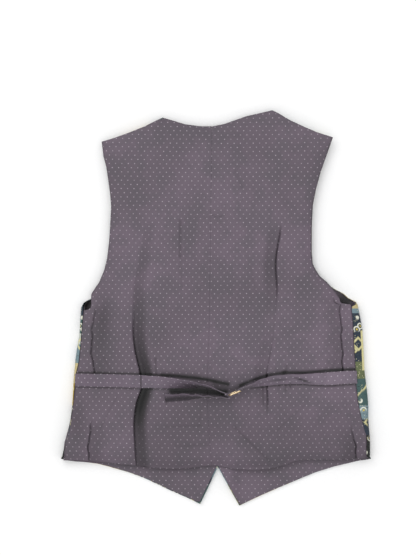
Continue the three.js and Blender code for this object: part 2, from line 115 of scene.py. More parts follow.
class Finish:
    """One material: its surface shader, and one way to add a node to it."""

    def __init__(self, name, roughness, **constants):
        self.material = bpy.data.materials.new(name)
        self.material.use_nodes = True
        self.tree = self.material.node_tree
        self.shader = self.tree.nodes["Principled BSDF"]
        self.shader.inputs["Roughness"].default_value = roughness
        for socket, value in constants.items():
            self.shader.inputs[socket.replace("_", " ")].default_value = value

    def add(self, kind, settings, *inputs, out=0):
        node = self.tree.nodes.new(kind)
        for key, value in settings.items():
            if key == "stops":
                ramp = node.color_ramp
                ramp.interpolation = settings.get("steps", "LINEAR")
                while len(ramp.elements) < len(value):
                    ramp.elements.new(0.5)
                for element, (place, color) in zip(ramp.elements, value):
                    element.position = place
                    element.color = (*color, 1.0)
            elif key != "steps":
                setattr(node, key, value)
        for i, value in enumerate(inputs):
            self.put(node.inputs[i], value)
        return Value(self, node.outputs[out])

    def put(self, socket, value):
        if value is None:
            return
        if isinstance(value, Value):
            self.tree.links.new(value.socket, socket)
        elif socket.type == "RGBA" and len(value) == 3:
            socket.default_value = (*value, 1.0)
        else:
            socket.default_value = value

    def mix(self, share, first, second):
        node = self.tree.nodes.new("ShaderNodeMix")
        node.data_type = "RGBA"
        self.put(node.inputs[0], share)
        self.put(node.inputs[6], first)
        self.put(node.inputs[7], second)
        return Value(self, node.outputs[2])

    def place(self):
        """Object coordinates, in metres."""
        return self.add("ShaderNodeTexCoord", {}, out=3)

    def cloth_place(self):
        """The flat cloth's own coordinates across and along, in metres."""
        flat = self.add("ShaderNodeUVMap", {"uv_map": "cloth"})
        across = self.add("ShaderNodeSeparateXYZ", {}, flat)
        along = Value(self, across.socket.node.outputs[1])
        return flat, across, along

    def cloud(self, where, scale, detail=2.0, roughness=0.5):
        return self.add("ShaderNodeTexNoise", {}, where, None, scale, detail, roughness)

    def attribute(self, name):
        return self.add("ShaderNodeAttribute", {"attribute_name": name}, out=2)

    def color(self, value):
        self.put(self.shader.inputs["Base Color"], value)

    def rough(self, value):
        self.put(self.shader.inputs["Roughness"], value)

    def bump(self, height, depth, strength=1.0):
        node = self.tree.nodes.new("ShaderNodeBump")
        node.inputs["Strength"].default_value = strength
        node.inputs["Distance"].default_value = depth
        self.put(node.inputs["Height"], height)
        self.put(self.shader.inputs["Normal"], Value(self, node.outputs[0]))


def linear(red, green, blue):
    """A colour as it is seen, in 0 to 255, as the shader's own numbers."""
    shares = [c / 255 for c in (red, green, blue)]
    return tuple(c / 12.92 if c < 0.0431 else ((c + 0.055) / 1.055) ** 2.4 for c in shares)


def mesh_piece(name, vertices, faces, finish):
    """A smooth mesh in the scene, in one finish."""
    mesh = bpy.data.meshes.new(name)
    mesh.from_pydata([tuple(v) for v in vertices], [], faces)
    mesh.materials.append(finish.material)
    mesh.polygons.foreach_set("use_smooth", [True] * len(mesh.polygons))
    mesh.update()
    piece = bpy.data.objects.new(name, mesh)
    bpy.context.scene.collection.objects.link(piece)
    return piece


floor_finish = Finish("white_sheet", 0.9)
floor_shade = floor_finish.cloud(floor_finish.place(), 3.0, 3.0)
floor_finish.color(floor_finish.mix(floor_shade, (0.86, 0.86, 0.865), (0.9, 0.9, 0.9)))
floor_finish.bump(floor_finish.cloud(floor_finish.place(), 900.0), 0.0003)
floor_sheet = Value(floor_finish, floor_finish.shader.outputs[0])
see_through = floor_finish.add("ShaderNodeBsdfTransparent", {})
seen_from_below = floor_finish.add("ShaderNodeNewGeometry", {}, out=6)
floor_mix = floor_finish.add("ShaderNodeMixShader", {}, seen_from_below, floor_sheet, see_through)
floor_finish.put(floor_finish.tree.nodes["Material Output"].inputs[0], floor_mix)
floor_height = -0.0008
floor_reach = 4
floor_plan = [(-1, -1), (1, -1), (1, 1), (-1, 1)]
floor_corners = [(x * floor_reach, y * floor_reach, floor_height) for x, y in floor_plan]
floor = mesh_piece("floor", floor_corners, [(0, 1, 2, 3)], floor_finish)
floor.visible_diffuse = False

world = bpy.data.worlds.new("bright_room")
world.use_nodes = True
world.node_tree.nodes["Background"].inputs[0].default_value = (1.0, 1.0, 1.0, 1.0)
world.node_tree.nodes["Background"].inputs[1].default_value = 0.86
bpy.context.scene.world = world


def soft_light(name, place, size, power):
    """A square lamp that faces the middle of the floor."""
    data = bpy.data.lights.new(name, "AREA")
    data.size = size
    data.energy = power
    light = bpy.data.objects.new(name, data)
    light.location = place
    light.rotation_euler = (-Vector(place)).to_track_quat("-Z", "Y").to_euler()
    bpy.context.scene.collection.objects.link(light)


soft_light("window", (-1.2, 1.6, 2.2), 1.8, 22)
soft_light("ceiling", (0.2, -0.2, 3.2), 2.6, 22)


# Back cloth: two halves of pin-dot satin, sewn together down the centre and taken in by a long fold each.
# Each half is one sheet on a fine net, laid over the fronts, with its folds and creases in its shape, and
# painted shade along them, beside the belt and at the armholes.
def along(points, t):
    """The second number of each pair as a smooth function of the first."""
    points = np.array(sorted(points), float)
    k, v = points[:, 0], points[:, 1]
    slope = np.gradient(v, k)
    i = np.clip(np.searchsorted(k, t) - 1, 0, len(k) - 2)
    h = k[i + 1] - k[i]
    s = np.clip((t - k[i]) / h, 0, 1)
    return ((2 * s**3 - 3 * s**2 + 1) * v[i] + (s**3 - 2 * s**2 + s) * h * slope[i]
            + (3 * s**2 - 2 * s**3) * v[i + 1] + (s**3 - s**2) * h * slope[i + 1])


def step(t, start, end):
    """0 before start, 1 after end, smooth between."""
    s = np.clip((t - start) / (end - start), 0, 1)
    return s * s * (3 - 2 * s)


def hump(t, middle, width):
    """1 at the middle, falling off evenly on both sides."""
    return np.exp(-(((t - middle) / width) ** 2))


def ripple(x, y, scale, seed):
    """Smooth noise over the plan, in about -1 to 1."""
    flat = [noise.noise(Vector((a / scale, b / scale, seed))) for a, b in zip(x.ravel(), y.ravel())]
    return np.array(flat).reshape(x.shape)


def to_line(x, y, points):
    """Distance in plan from each place to a broken line."""
    points = np.array(points, float)
    best = np.full(x.shape, 1e9)
    for (ax, ay), (bx, by) in zip(points[:-1], points[1:]):
        length = (bx - ax) ** 2 + (by - ay) ** 2
        t = np.clip(((x - ax) * (bx - ax) + (y - ay) * (by - ay)) / length, 0, 1)
        best = np.minimum(best, np.hypot(x - ax - t * (bx - ax), y - ay - t * (by - ay)))
    return best


# Lines of the back, in millimetres. Pairs are (x, y) in back_hem and back_top, and (y, x) in centre_seam.
# The others have a list for the left half (-1) and one for the right (1): height up the back, then how far
# out from the middle the line lies there, or how deep the fold is, as a share.
centre_seam = [(-275, -6), (-172, -13), (0, -10), (157, -8), (315, -5)]
back_hem = [(-262, -259), (-220, -260), (-148, -267), (-77, -274), (-40, -272), (-3, -268), (33, -274),
    (105, -271), (135, -261), (208, -258), (262, -255.5)]
back_top = [(-194, 283.5), (-172.6, 290), (-145, 300), (-120, 310), (-99.5, 320.5), (-89.7, 325),
    (-74, 320.5), (-52, 313.7), (-26, 310.3), (-5, 310.3), (16, 314.5), (30, 319.6), (52, 327.3),
    (96.6, 337.5), (109.7, 330.7), (126.7, 320.5), (148.8, 310), (172.6, 300), (200, 291.2)]
back_edge = {
    -1: [(-259, 259), (-235, 257), (-212, 251), (-188, 246), (-164, 242), (-132, 239), (-108, 236),
        (-91, 232), (-63, 229), (-38, 227), (-3, 224), (-1, 213), (8, 211), (17, 212), (24.7, 211.5),
        (35, 205), (45, 198), (65.5, 189.6), (86, 184.5), (116.5, 181), (142, 179.4), (172.6, 177.7),
        (193, 179.4), (218.5, 183), (239, 186), (259, 191), (284, 193.6)],
    1: [(-255, 256), (-223.6, 256.4), (-199, 250.8), (-175, 245), (-157, 241.7), (-128, 238.5),
        (-105, 237.7), (-61, 235), (-25, 233), (7, 230), (9, 213), (20, 210), (26, 206), (35, 199),
        (45, 189.6), (55, 177.7), (65.5, 171), (75.7, 165.8), (96, 164), (137, 164), (172.6, 165.8),
        (198, 171), (228.7, 179.4), (259, 189.6), (292, 199.8)],
}
fold_line = {
    -1: [(-275, 133), (-225, 136), (-195, 137), (-161.5, 132.6), (-132, 124), (-108, 127), (-73, 135),
        (-42, 138.6), (-8, 138.6), (25.5, 140), (92, 129), (290, 112)],
    1: [(-275, 92), (-156, 87.6), (-115, 86.5), (-63, 96), (26, 104), (82.5, 101.5), (138.6, 110.8),
        (295, 118)],
}
fold_depth = {
    -1: [(-275, 0.5), (-240, 0.6), (-190, 0.85), (-150, 1.1), (-128, 0.6), (-105, 1.1), (-60, 0.85),
        (-15, 0.5), (30, 0.34), (70, 0.26), (120, 0.14), (150, 0)],
    1: [(-200, 0), (-175, 0.1), (-156, 0.5), (-130, 0.6), (-105, 0.5), (-70, 0.35), (-40, 0.12), (0, 0.2),
        (40, 0.5), (85, 0.75), (125, 0.5), (142, 0)],
}
pleat_line = {
    -1: [(-275, 217), (-252, 217), (-224, 215.6), (-201, 212), (-150, 207), (-107, 207), (-91, 210),
        (-55, 211.5), (-25, 209), (-4, 206), (20, 202)],
    1: [(-275, 242), (-248, 239), (-218, 234), (-160, 222), (-105, 217.6), (-60, 215.7), (-21, 214),
        (20, 210.6)],
}
pleat_depth = {
    -1: [(-275, 0.5), (-252, 0.55), (-205, 0.4), (-190, 0), (-118, 0), (-106, 0.5), (-50, 0.45),
        (-6, 0.25), (8, 0)],
    1: [(-275, 0.5), (-248, 0.55), (-218, 0.3), (-200, 0), (-112, 0.1), (-104, 0.55), (-60, 0.5),
        (10, 0.35), (26, 0)],
}
# Shade beside the belt: lines in plan, each with its width and weight.
belt_shadows = [
    ([(-232, -109), (-126, -111.5), (-70, -114.5), (-20, -120), (22, -129)], 2.2, 0.9),
    ([(-90, -112), (-40, -116), (20, -127)], 5.0, 0.55),
    ([(238, -103.3), (188, -106), (150, -109), (116, -109)], 3.1, 1.1),
    ([(116, -109), (90, -113), (62, -122), (42, -131)], 2.8, 1.0),
    ([(-232, -133.5), (-124, -137), (-80, -138)], 1.4, 0.5),
    ([(240, -129), (188, -132.5), (150, -129.5), (118, -129.5), (60, -135.5)], 1.5, 0.7),
    ([(-74, -140), (-33, -139.5), (16, -144)], 5.4, 1.7),
    ([(-84, -163), (-84, -150)], 1.2, 0.5),
    ([(-8, 160), (3, 155), (16, 159)], 1.1, 0.3),
    ([(-2, -131), (28, -138), (48, -131)], 5.0, 0.55),
]
# Small creases: where each starts and ends in plan, and its weight, which sets both the groove's depth and
# the painted shade along it.
small_creases = [((79, -133), (81, -164), 0.6), ((108, -130), (107, -143), 0.7),
    ((119, -129), (121, -141), 0.7), ((120, -110), (122, -98), 0.6), ((108, -110), (104, -102), 0.4),
    ((31, -201), (92, -260), 0.5), ((-84, -202), (-22, -199), 0.3), ((-70, -236), (-10, -232), 0.25),
    ((-168, -150), (-196, -205), 0.3), ((104, -208), (150, -166), 0.25), ((60, 70), (72, 20), 0.2),
    ((-59.5, 150), (-60, 88), 0.7), ((-59.5, 88), (-57, 30), 0.25), ((35, 235), (46, 206), 0.3),
    ((-102, -86), (-101, -113), 0.8), ((205, -88), (196, -104), 0.35), ((192, -92), (186, -106), 0.3),
    ((-190, -84), (-178, -106), 0.25), ((60, -150), (52, -190), 0.2), ((-20, -152), (-28, -200), 0.25)]
pin_spacing = (10.9 * MM, 7.1 * MM)
pin_size = 0.98 * MM
back_height = 17.4


def pin_dot_cloth(name, dark, light, dot, roughness):
    """Satin with small woven dots in staggered rows, a fine weave, and a slow change of tone, darkened by
    painted shade from a per-vertex attribute.
    """
    finish = Finish(name, roughness, Specular_IOR_Level=0.35, Sheen_Weight=0.12, Sheen_Roughness=0.4)
    flat, across, along_cloth = finish.cloth_place()
    row = along_cloth / pin_spacing[1]
    odd = (row.floor() * 0.5).fract()
    x = ((across / pin_spacing[0] + odd).fract() - 0.5) * pin_spacing[0]
    y = (row.fract() - 0.5) * pin_spacing[1]
    reach = (x * x + y * y).math("SQRT")
    pin = 1 - reach.between(pin_size * 0.45, pin_size * 1.3)
    slow = finish.cloud(finish.place(), 7.0, 3.0).between(0.3, 0.7)
    ground = finish.mix(slow, linear(*dark), linear(*light))
    mottle = finish.cloud(finish.place(), 21.0, 7.0, 0.7).between(0.42, 0.62)
    ground = finish.mix(mottle * 0.42, ground, linear(dark[0] * 0.84, dark[1] * 0.92, dark[2] * 0.88))
    threads = finish.cloud(flat, 1500.0, 1.0)
    ground = finish.mix(threads.between(0.3, 0.7) * 0.16, ground, linear(*(c * 0.72 for c in dark)))
    uneven = finish.cloud(flat, 95.0, 1.0).between(0.25, 0.7)
    dotted = finish.mix(pin * (0.5 + uneven * 0.5), ground, linear(*dot))
    # Painted shade: the per-vertex attribute darkens the colour towards a deep tone, and past 1 towards near
    # black in the deepest gaps.
    crease = finish.attribute("crease")
    shaded = finish.mix(crease.least(1.0), dotted, linear(*(c * 0.36 for c in dark)))
    finish.color(finish.mix(crease.between(1.0, 1.5), shaded, linear(9, 8, 10)))
    finish.rough(roughness - pin * 0.1 + threads * 0.08)
    weave = (across * 5200).math("SINE") * (along_cloth * 5200).math("SINE")
    slubs = finish.cloud(finish.add("ShaderNodeMapping", {}, flat, None, None, (1.0, 4.0, 1.0)), 130.0, 4.0)
    finish.bump(weave * 0.1 + pin * 0.6 + threads * 0.5 + slubs * 3.6, 0.00015)
    return finish


back_finish = pin_dot_cloth("pin_dot_satin", (88, 78, 88), (102, 89, 102), (164, 154, 164), 0.52)


def cloth_layer(piece, table):
    """Gives a piece its flat cloth coordinates, one pair in metres for each vertex."""
    layer = piece.data.uv_layers.new(name="cloth")
    loops = np.array([loop.vertex_index for loop in piece.data.loops])
    layer.data.foreach_set("uv", table[loops].ravel())


def painted_shade_layer(piece, tones):
    """Gives a piece its painted shade, one number for each vertex, which darkens its colour."""
    tone = piece.data.attributes.new("crease", "FLOAT", "POINT")
    tone.data.foreach_set("value", tones.ravel().astype(np.float32))


def net(name, places, flats, finish, thickness, crease=None):
    """A sheet from rows of places in millimetres, with its flat coordinates, closed to a thickness."""
    rows, columns = places.shape[:2]
    index = np.arange(rows * columns).reshape(rows, columns)
    corners = np.stack([index[:-1, :-1], index[:-1, 1:], index[1:, 1:], index[1:, :-1]], -1).reshape(-1, 4)
    normal = np.cross(places[1:, :-1] - places[:-1, :-1], places[:-1, 1:] - places[:-1, :-1])[..., 2].sum()
    if normal > 0:
        corners = corners[:, ::-1]
    piece = mesh_piece(name, places.reshape(-1, 3) * MM, corners.tolist(), finish)
    cloth_layer(piece, flats.reshape(-1, 2) * MM)
    if crease is not None:
        painted_shade_layer(piece, crease)
    if thickness:
        wall = piece.modifiers.new("cloth_thickness", "SOLIDIFY")
        wall.thickness = thickness * MM
        wall.offset = -1
    return piece


def back_columns(reach, fold, pleat, spacing):
    """Distances from the centre seam along each row, closer together at the seam, the fold and the pleat."""
    near = np.array([-9, -6.5, -4.8, -3.6, -2.6, -1.8, -1.1, -0.5, 0, 0.5, 1.1, 1.8, 2.6, 3.6, 4.8, 6.5, 9])
    seam = np.array([0, 0.5, 1.1, 2.0, 3.2])
    to_fold, to_pleat, to_edge = int(120 / spacing), int(66 / spacing), max(int(14 / spacing), 3)
    rows = []
    for c, f, p in zip(reach, fold, pleat):
        close = near * min(1.0, (c - p) / 9.5)
        middle = np.linspace(5, f - 10.5, to_fold)
        outside = np.linspace(f + 11, p - 10.5, to_pleat)
        rest = np.linspace(p + close[-1], c, to_edge + 1)[1:]
        rows.append(np.concatenate([seam, middle, f + near, outside, p + close, rest]))
    return np.array(rows)


def fold_sharpness(side, y, blunt, left_start, left_end):
    """How sharp the long fold is along its length, from blunt to 1."""
    if side < 0:
        return blunt + (1 - blunt) * step(-y, left_start, left_end)
    return blunt + (1 - blunt) * np.maximum(step(y, 5, 40), step(-y, 108, 118))


def fold_shade(side, x, y, inner, pleat_d, deep, small):
    """Painted shade in the fold and the pleat, beside them where the cloth turns away, and low on the back.
    """
    sharp = fold_sharpness(side, y, 0.0 if side < 0 else 0.35, -20, 62)
    broad = (0.84 if side < 0 else 0.42) * step(inner, -1, 2) * (1 - step(inner, 12, 25))
    shade = deep * (0.85 * sharp * hump(inner, -0.7, 1.5) + broad)
    under_belt = hump(y, -150, 34) * step(-y, 126, 132) * hump(inner, 6, 6.5)
    shade = shade + 0.85 * under_belt * (side < 0)
    shade = shade + 0.14 * step(-y, 140, 200) * (1 - step(-x, 125, 150))
    shade = shade + 0.34 * hump(x, -190, 15) * hump(y, -18, 40) + 0.3 * hump(x, -236, 13) * hump(y, -190, 36)
    beside_pleat = step(-pleat_d, 0, 3) * (1 - step(-pleat_d, 8, 38))
    return shade + small * (1.3 * hump(pleat_d, -0.6, 1.3) + 0.5 * beside_pleat)


def back_net(side, lower, inset, spacing):
    """Rows across one half of the back, from hem to neck and shoulder, with its folds in them."""
    hem_y = -268
    tip_y = 284.0 if side < 0 else 292.0
    nominal = np.linspace(hem_y, tip_y, int(555 / spacing))
    centre = along(centre_seam, nominal)
    reach = np.interp(nominal, *np.array(back_edge[side]).T) - inset - side * centre
    fold = np.minimum(along(fold_line[side], nominal) - side * centre, reach - 30)
    pucker = 0.9 * np.sin(nominal / 6.7) + 0.5 * np.sin(nominal / 3.3)
    pleat = np.minimum(along(pleat_line[side], nominal) - side * centre + pucker, reach - 9)
    d = back_columns(reach, fold, pleat, spacing)
    x = side * d + centre[:, None]
    y0 = nominal[:, None] + 0 * d
    hem_shift = along(back_hem, x) - hem_y + inset
    top_shift = np.interp(x, *np.array(back_top).T) - tip_y - inset
    y = y0 + hem_shift * (1 - step(y0, hem_y, -150)) + top_shift * step(y0, 110, tip_y)
    inner = fold[:, None] - d
    pleat_d = d - pleat[:, None]
    deep = np.interp(nominal, *np.array(fold_depth[side]).T)[:, None]
    small = np.interp(nominal, *np.array(pleat_depth[side]).T)[:, None]
    z = back_height + 0 * d
    z += 1.3 * ripple(x, y, 85, 3.1) + 0.9 * ripple(x, y, 34, 9.4)
    z += 0.38 * ripple(x + 0.4 * y, 0.55 * y, 10, 2.2)
    narrow = fold_sharpness(side, y, 0.3 if side < 0 else 0.4, -30, 50)
    groove = 5.2 * narrow * hump(inner, -0.6, 1.7)
    z += deep * (2.4 * hump(inner, 4.0, 3.4) - groove - 1.9 * hump(inner, 10, 9))
    z += deep * step(-y, 120, 190) * 1.1 * hump(inner, 13, 9)
    z += small * (1.8 * hump(pleat_d, 3.2, 2.8) - 4.2 * hump(pleat_d, -0.4, 1.5))
    x = x + side * deep * 1.9 * hump(inner, 2.2, 2.4) - side * small * 1.4 * hump(pleat_d, 2.0, 2.0)
    # Painted shade in and beside the fold and the pleat, under the belt and low on the back.
    crease = fold_shade(side, x, y, inner, pleat_d, deep, small)
    # Each small crease is a groove in the shape with painted shade along it.
    for start, end, weight in small_creases:
        off = to_line(x, y, [start, end])
        z -= weight * 1.7 * hump(off, 0, 2.2)
        z += weight * 0.8 * hump(off, 5, 3.2)
        crease = crease + weight * 0.5 * hump(off, 0, 1.3)
    gathers = np.sin(x / 4.1 + 1.7 * ripple(x, y, 60, 5.5)) * hump(y, -128, 26) * step(130 - np.abs(x), 0, 40)
    z += 0.55 * gathers - 0.9 * hump(y, -126, 14)
    z -= 0.2 * hump(d, 0, 1.2) - 0.2 * hump(d, 3.2, 1.8)
    # Painted shadow beside the belt, along each line of belt_shadows.
    for line, width, weight in belt_shadows:
        crease = crease + weight * hump(to_line(x, y, line), 0, width)
    armhole = [(side * px, py) for py, px in back_edge[side] if py > 16]
    arm_away = to_line(x, y, armhole)
    # Painted shade along the armhole edge, stronger on the right.
    crease = crease + (0.75 if side > 0 else 0.3) * hump(arm_away, 0, 1.8)
    border = np.minimum(np.minimum(to_line(x, y, back_top), to_line(x, y, back_hem)), arm_away)
    at_shoulder = step(np.abs(x), 88, 100) * step(y, 270, 284)
    z -= (3.4 + 2.4 * step(-y, 230, 262)) * hump(border, 0, 10) * (1 - 0.85 * at_shoulder)
    z += 0.45 * hump(border, 7, 3)
    z -= lower
    tilt = -side * 0.011
    flat_x = side * d * math.cos(tilt) - y * math.sin(tilt) + side * 2.7
    flat_y = side * d * math.sin(tilt) + y * math.cos(tilt)
    return np.stack([x, y, z], -1), np.stack([flat_x, flat_y], -1), np.clip(crease, 0, 1.6)


def area_of(places):
    """The area of a net of places, from its two diagonals, in square metres."""
    across = places[1:, 1:] - places[:-1, :-1]
    over = places[1:, :-1] - places[:-1, 1:]
    return float(np.linalg.norm(np.cross(across, over), axis=-1).sum() / 2) * MM * MM


def flat_size(places):
    """Width and length of a net in plan, in metres."""
    spread = (places.reshape(-1, 3).max(0) - places.reshape(-1, 3).min(0)) * MM
    return float(spread[0]), float(spread[1])


width_taken_up = 1.03
length_taken_up = 1.02


def lay(places):
    """Works out the lesser of a piece's cloth area and its plan size with some taken up by its folds, and
    does nothing with it.
    """
    width, length = flat_size(places)
    width, length = width * width_taken_up, length * length_taken_up
    min(area_of(places), width * length)


words = {-1: "left", 1: "right"}
for side in (-1, 1):
    places, flats, crease = back_net(side, 0.0, 0.0, 2.1)
    piece = net(f"{words[side]}_back_cloth", places, flats, back_finish, 0.8, crease)
    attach(piece, "back")
    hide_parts(f"back_panel_{words[side]}")
    lay(places)


# Back lining: the same shape in the same cloth, under the back, turned in at every edge. It is seen at the
# neck and in the armholes only, and its satin is a darker copy of the back's, as painted shade.
shaded_lining_finish = pin_dot_cloth("lining_satin_painted_shade", (72, 65, 72), (84, 76, 84), (140, 131, 140), 0.5)
for side in (-1, 1):
    places, flats, crease = back_net(side, 1.5, 1.4, 4.0)
    piece = net(f"{words[side]}_back_lining", places, flats, shaded_lining_finish, 0.4, crease)
    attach(piece, "back")
    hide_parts(f"back_lining_{words[side]}")
    lay(places)


# Fronts: each is one piece of printed cotton from the side seam, round the side, to the front edge.
# Each front's fold line runs from the neck to the hem.
front_outer = {
    -1: [(-334.7, 26), (-322, 54), (-312, 77), (-302, 98), (-291.6, 120), (-281, 149), (-271, 183),
        (-266, 203), (-263.5, 223.6), (-261.5, 250), (-259, 258), (-254, 261.5), (-242, 259),
        (-215, 251), (-190, 247), (-166, 244), (-128, 242), (-88, 239), (-47, 232), (1, 228.7),
        (14.5, 222), (24.7, 212), (35, 204), (45, 197), (65.5, 189), (86, 184), (116.5, 180),
        (142, 178.6), (172.6, 177), (193, 178.6), (218.5, 182), (239, 185), (259, 190), (284, 193),
        (290, 172.6), (300, 145), (310, 120), (320.5, 99.5), (325, 89.7)],
    1: [(-338, 41), (-322, 75), (-312, 97.5), (-302, 121), (-291.6, 145.5), (-281, 171.5), (-271, 203.5),
        (-265, 229), (-261, 245), (-259, 258), (-256, 262.5), (-250, 263.7), (-232, 263.7),
        (-201.5, 261.3), (-167.5, 260.4), (-137, 257.6), (-106, 254), (-62, 252.5), (-37, 250.8),
        (6, 242), (14.5, 239), (24.7, 228), (35, 209), (45, 195.6), (55, 184), (65.5, 177.5), (75.7, 172),
        (96, 170), (137, 170), (172.6, 172), (198, 177), (228.7, 185), (259, 194), (284, 199),
        (291.5, 199.5), (300, 172.6), (310, 148.8), (320.5, 126.7), (330.7, 109.7), (337.5, 96.6)],
}
front_inner = {
    -1: [(-334.7, 26), (-271, -4.3), (-246, -15), (60, -15), (325, 89.7)],
    1: [(-338, 41), (-271, 4.3), (-246, -15), (60, -15), (337.5, 96.6)],
}
hinge_line = {side: [(side * 93.0, 337.0), (side * 190.0, -269.0)] for side in (-1, 1)}
front_lift = {-1: 3.5, 1: 6.5}
side_top = 17.3
front_spacing = 3.6
turned_under = 8.0
print_origin = 243.0
wrap_count = 15
widest = wrap_count // 2


def straight(points, t):
    """The second number of each pair at t, with straight lines between the pairs."""
    points = np.array(points, float)
    return np.interp(t, points[:, 0], points[:, 1])


def front_piece(name, side, places, flats, finish, thickness, crease=None):
    """A net whose thickness is shared by both its faces, with its transform baked into its mesh."""
    piece = net(name, places, flats, finish, thickness, crease)
    piece.modifiers["cloth_thickness"].offset = 0
    bend_at_hinge(piece, side)
    return piece


def lifted(side, x):
    """Height added towards the front edge: the left front lies on the buttons, the right on the left."""
    return front_lift[side] * (1 - step(x, 22, 46))


def front_net(side, raise_by, inset, spacing, wrap_inset=0.0):
    """Rows across one front: down from the side seam, round the side, and over to the front edge."""
    low = front_outer[side][0][0] + inset * 1.6
    high = front_outer[side][-1][0] - inset * 0.4
    fine = np.concatenate([np.linspace(low, -276, 26), np.linspace(-274, -246, 22)])
    nominal = np.concatenate([fine, np.linspace(-244, high, int(580 / spacing))])
    outer = straight(front_outer[side], nominal)
    inner = straight(front_inner[side], nominal)
    edge = np.maximum(outer - inset, inner + 0.05)
    start = np.minimum(inner + inset, edge - 0.04)
    wrap = step(nominal, -261, -252) * (1 - step(nominal, 2, 17))
    seam = np.minimum(straight(back_edge[side], np.clip(nominal, -254, -4)) + 1.0, outer - 1.5)
    rows = []
    for y, e, s, w, top, full in zip(nominal, edge, start, wrap, seam, outer):
        turn = np.linspace(-math.pi / 2 + math.pi * w, -math.pi / 2, wrap_count)
        half = (side_top - raise_by * 0.9 - 0.5) / 2 - wrap_inset / 2
        under = min(turned_under, max((e - s) * 0.4, 0.01))
        width = np.where(turn > 0, max(full - top - wrap_inset, 0.6), under)
        reach = e - wrap_inset * w + (under * (1 - w) if y < -245 else 0)
        wx = reach - width + width * np.cos(turn)
        wz = 0.5 + raise_by + half + half * np.sin(turn)
        flat_end = reach - under
        bx = np.linspace(flat_end, s, int(250 / spacing))[1:]
        rows.append((np.concatenate([wx, bx]), np.concatenate([wz, 0.5 + raise_by + 0 * bx])))
    x = np.array([r[0] for r in rows])
    z = np.array([r[1] for r in rows])
    y = nominal[:, None] + 0 * x
    z += lifted(side, x)
    shoulder = [(px, py) for py, px in front_outer[side] if py > 282]
    rise = hump(to_line(x, y, shoulder), 0, 6.5)
    z += (side_top - 1.2 - z) * rise
    on_side = np.zeros_like(x)
    on_side[:, :wrap_count] = 1
    soft = ripple(x, y, 34, 7.7 + side) * 0.7 * on_side * hump(z, 9, 6)
    lengths = np.hypot(np.diff(x, axis=1), np.diff(z, axis=1))
    run = np.concatenate([np.zeros((len(x), 1)), np.cumsum(lengths, axis=1)], axis=1)
    run -= run[:, widest:widest + 1]
    keep = wrap[:, None] * (1 - step(run, 8, 70))
    run = run * keep + (print_origin - x) * (1 - keep)
    places = np.stack([side * (x + soft), y, z], -1)
    return places, np.stack([run, y], -1)


def printed_cloth(name, patches, strip):
    """Printed cotton: patches of plain colour in a row down the side, each with its own small motifs."""
    finish = Finish(name, 0.78, Specular_IOR_Level=0.25)
    flat, across, along_cloth = finish.cloth_place()
    shift = (across / 0.052 + 0.45).floor()
    place = (along_cloth + 0.34 + shift * 0.113) / 0.68
    patch = place.fract()
    ground = finish.add("ShaderNodeValToRGB", {"stops": patches, "steps": "CONSTANT"}, patch)
    motif_at = finish.add("ShaderNodeTexVoronoi", {"feature": "F1"}, flat, None, 68.0)
    ring = 1 - (motif_at - 0.32).size().between(0.03, 0.1)
    centre = 1 - motif_at.between(0.1, 0.16)
    pick = finish.cloud(flat, 21.0, 0.0)
    drawn = finish.mix(ring * pick.between(0.5, 0.56), ground, linear(222, 222, 206))
    drawn = finish.mix(centre * pick.between(0.46, 0.5), drawn, linear(196, 178, 92))
    cells = finish.add("ShaderNodeTexVoronoi", {"feature": "F1", "distance": "MANHATTAN"}, flat, None, 34.0)
    diamond = (1 - (cells - 0.42).size().between(0.04, 0.12)) * (1 - pick.between(0.42, 0.47))
    drawn = finish.mix(diamond * 0.85, drawn, linear(212, 204, 150))
    specks = finish.add("ShaderNodeTexVoronoi", {"feature": "F1"}, flat, None, 330.0)
    small = (1 - specks.between(0.16, 0.26)) * finish.cloud(flat, 60.0, 0.0).between(0.45, 0.52)
    drawn = finish.mix(small * 0.8, drawn, linear(226, 218, 176))
    strokes = finish.cloud(finish.add("ShaderNodeMapping", {}, flat, None, None, (1.0, 5.0, 1.0)), 70.0, 2.0)
    drawn = finish.mix(strokes.between(0.62, 0.7) * 0.75, drawn, linear(24, 26, 26))
    if strip:
        low, high = strip
        inside = across.between(-0.0075, -0.0068) * (1 - across.between(0.004, 0.0046))
        inside = inside * along_cloth.between(low, low + 0.001)
        inside = inside * (1 - along_cloth.between(high - 0.001, high))
        drawn = finish.mix(inside, drawn, linear(212, 204, 150))
    faded = finish.cloud(flat, 420.0, 2.0)
    finish.color(finish.mix(faded.between(0.3, 0.8) * 0.22, drawn, linear(90, 96, 92)))
    finish.bump(faded + (across * 4200).math("SINE") * (along_cloth * 4200).math("SINE") * 0.25, 0.00016)
    return finish


navy, green, blue = linear(38, 49, 62), linear(62, 87, 86), linear(112, 132, 140)
yellow, black, white = linear(186, 171, 126), linear(26, 28, 26), linear(186, 190, 180)
gold, olive = linear(176, 150, 74), linear(96, 104, 72)


def bands(rows):
    """Ramp stops from the height at which each patch begins, in millimetres."""
    return [((y + 340) / 680, color) for y, color in rows]


left_bands = bands([
    (-340, navy), (-262, black), (-232, green), (-190, black), (-166, gold), (-128, yellow), (-95, blue),
    (-62, white), (-45, green), (-18, navy), (40, yellow), (90, green), (150, navy), (230, blue)])
right_bands = bands([
    (-340, green), (-256, black), (-217, navy), (-191, blue), (-166, green), (-120, olive), (-91, navy),
    (-10, blue), (0, yellow), (40, navy), (90, olive), (150, blue), (230, green)])
pale_strip = (-0.106, -0.037)
print_finish = {-1: printed_cloth("left_print", left_bands, None),
                1: printed_cloth("right_print", right_bands, pale_strip)}


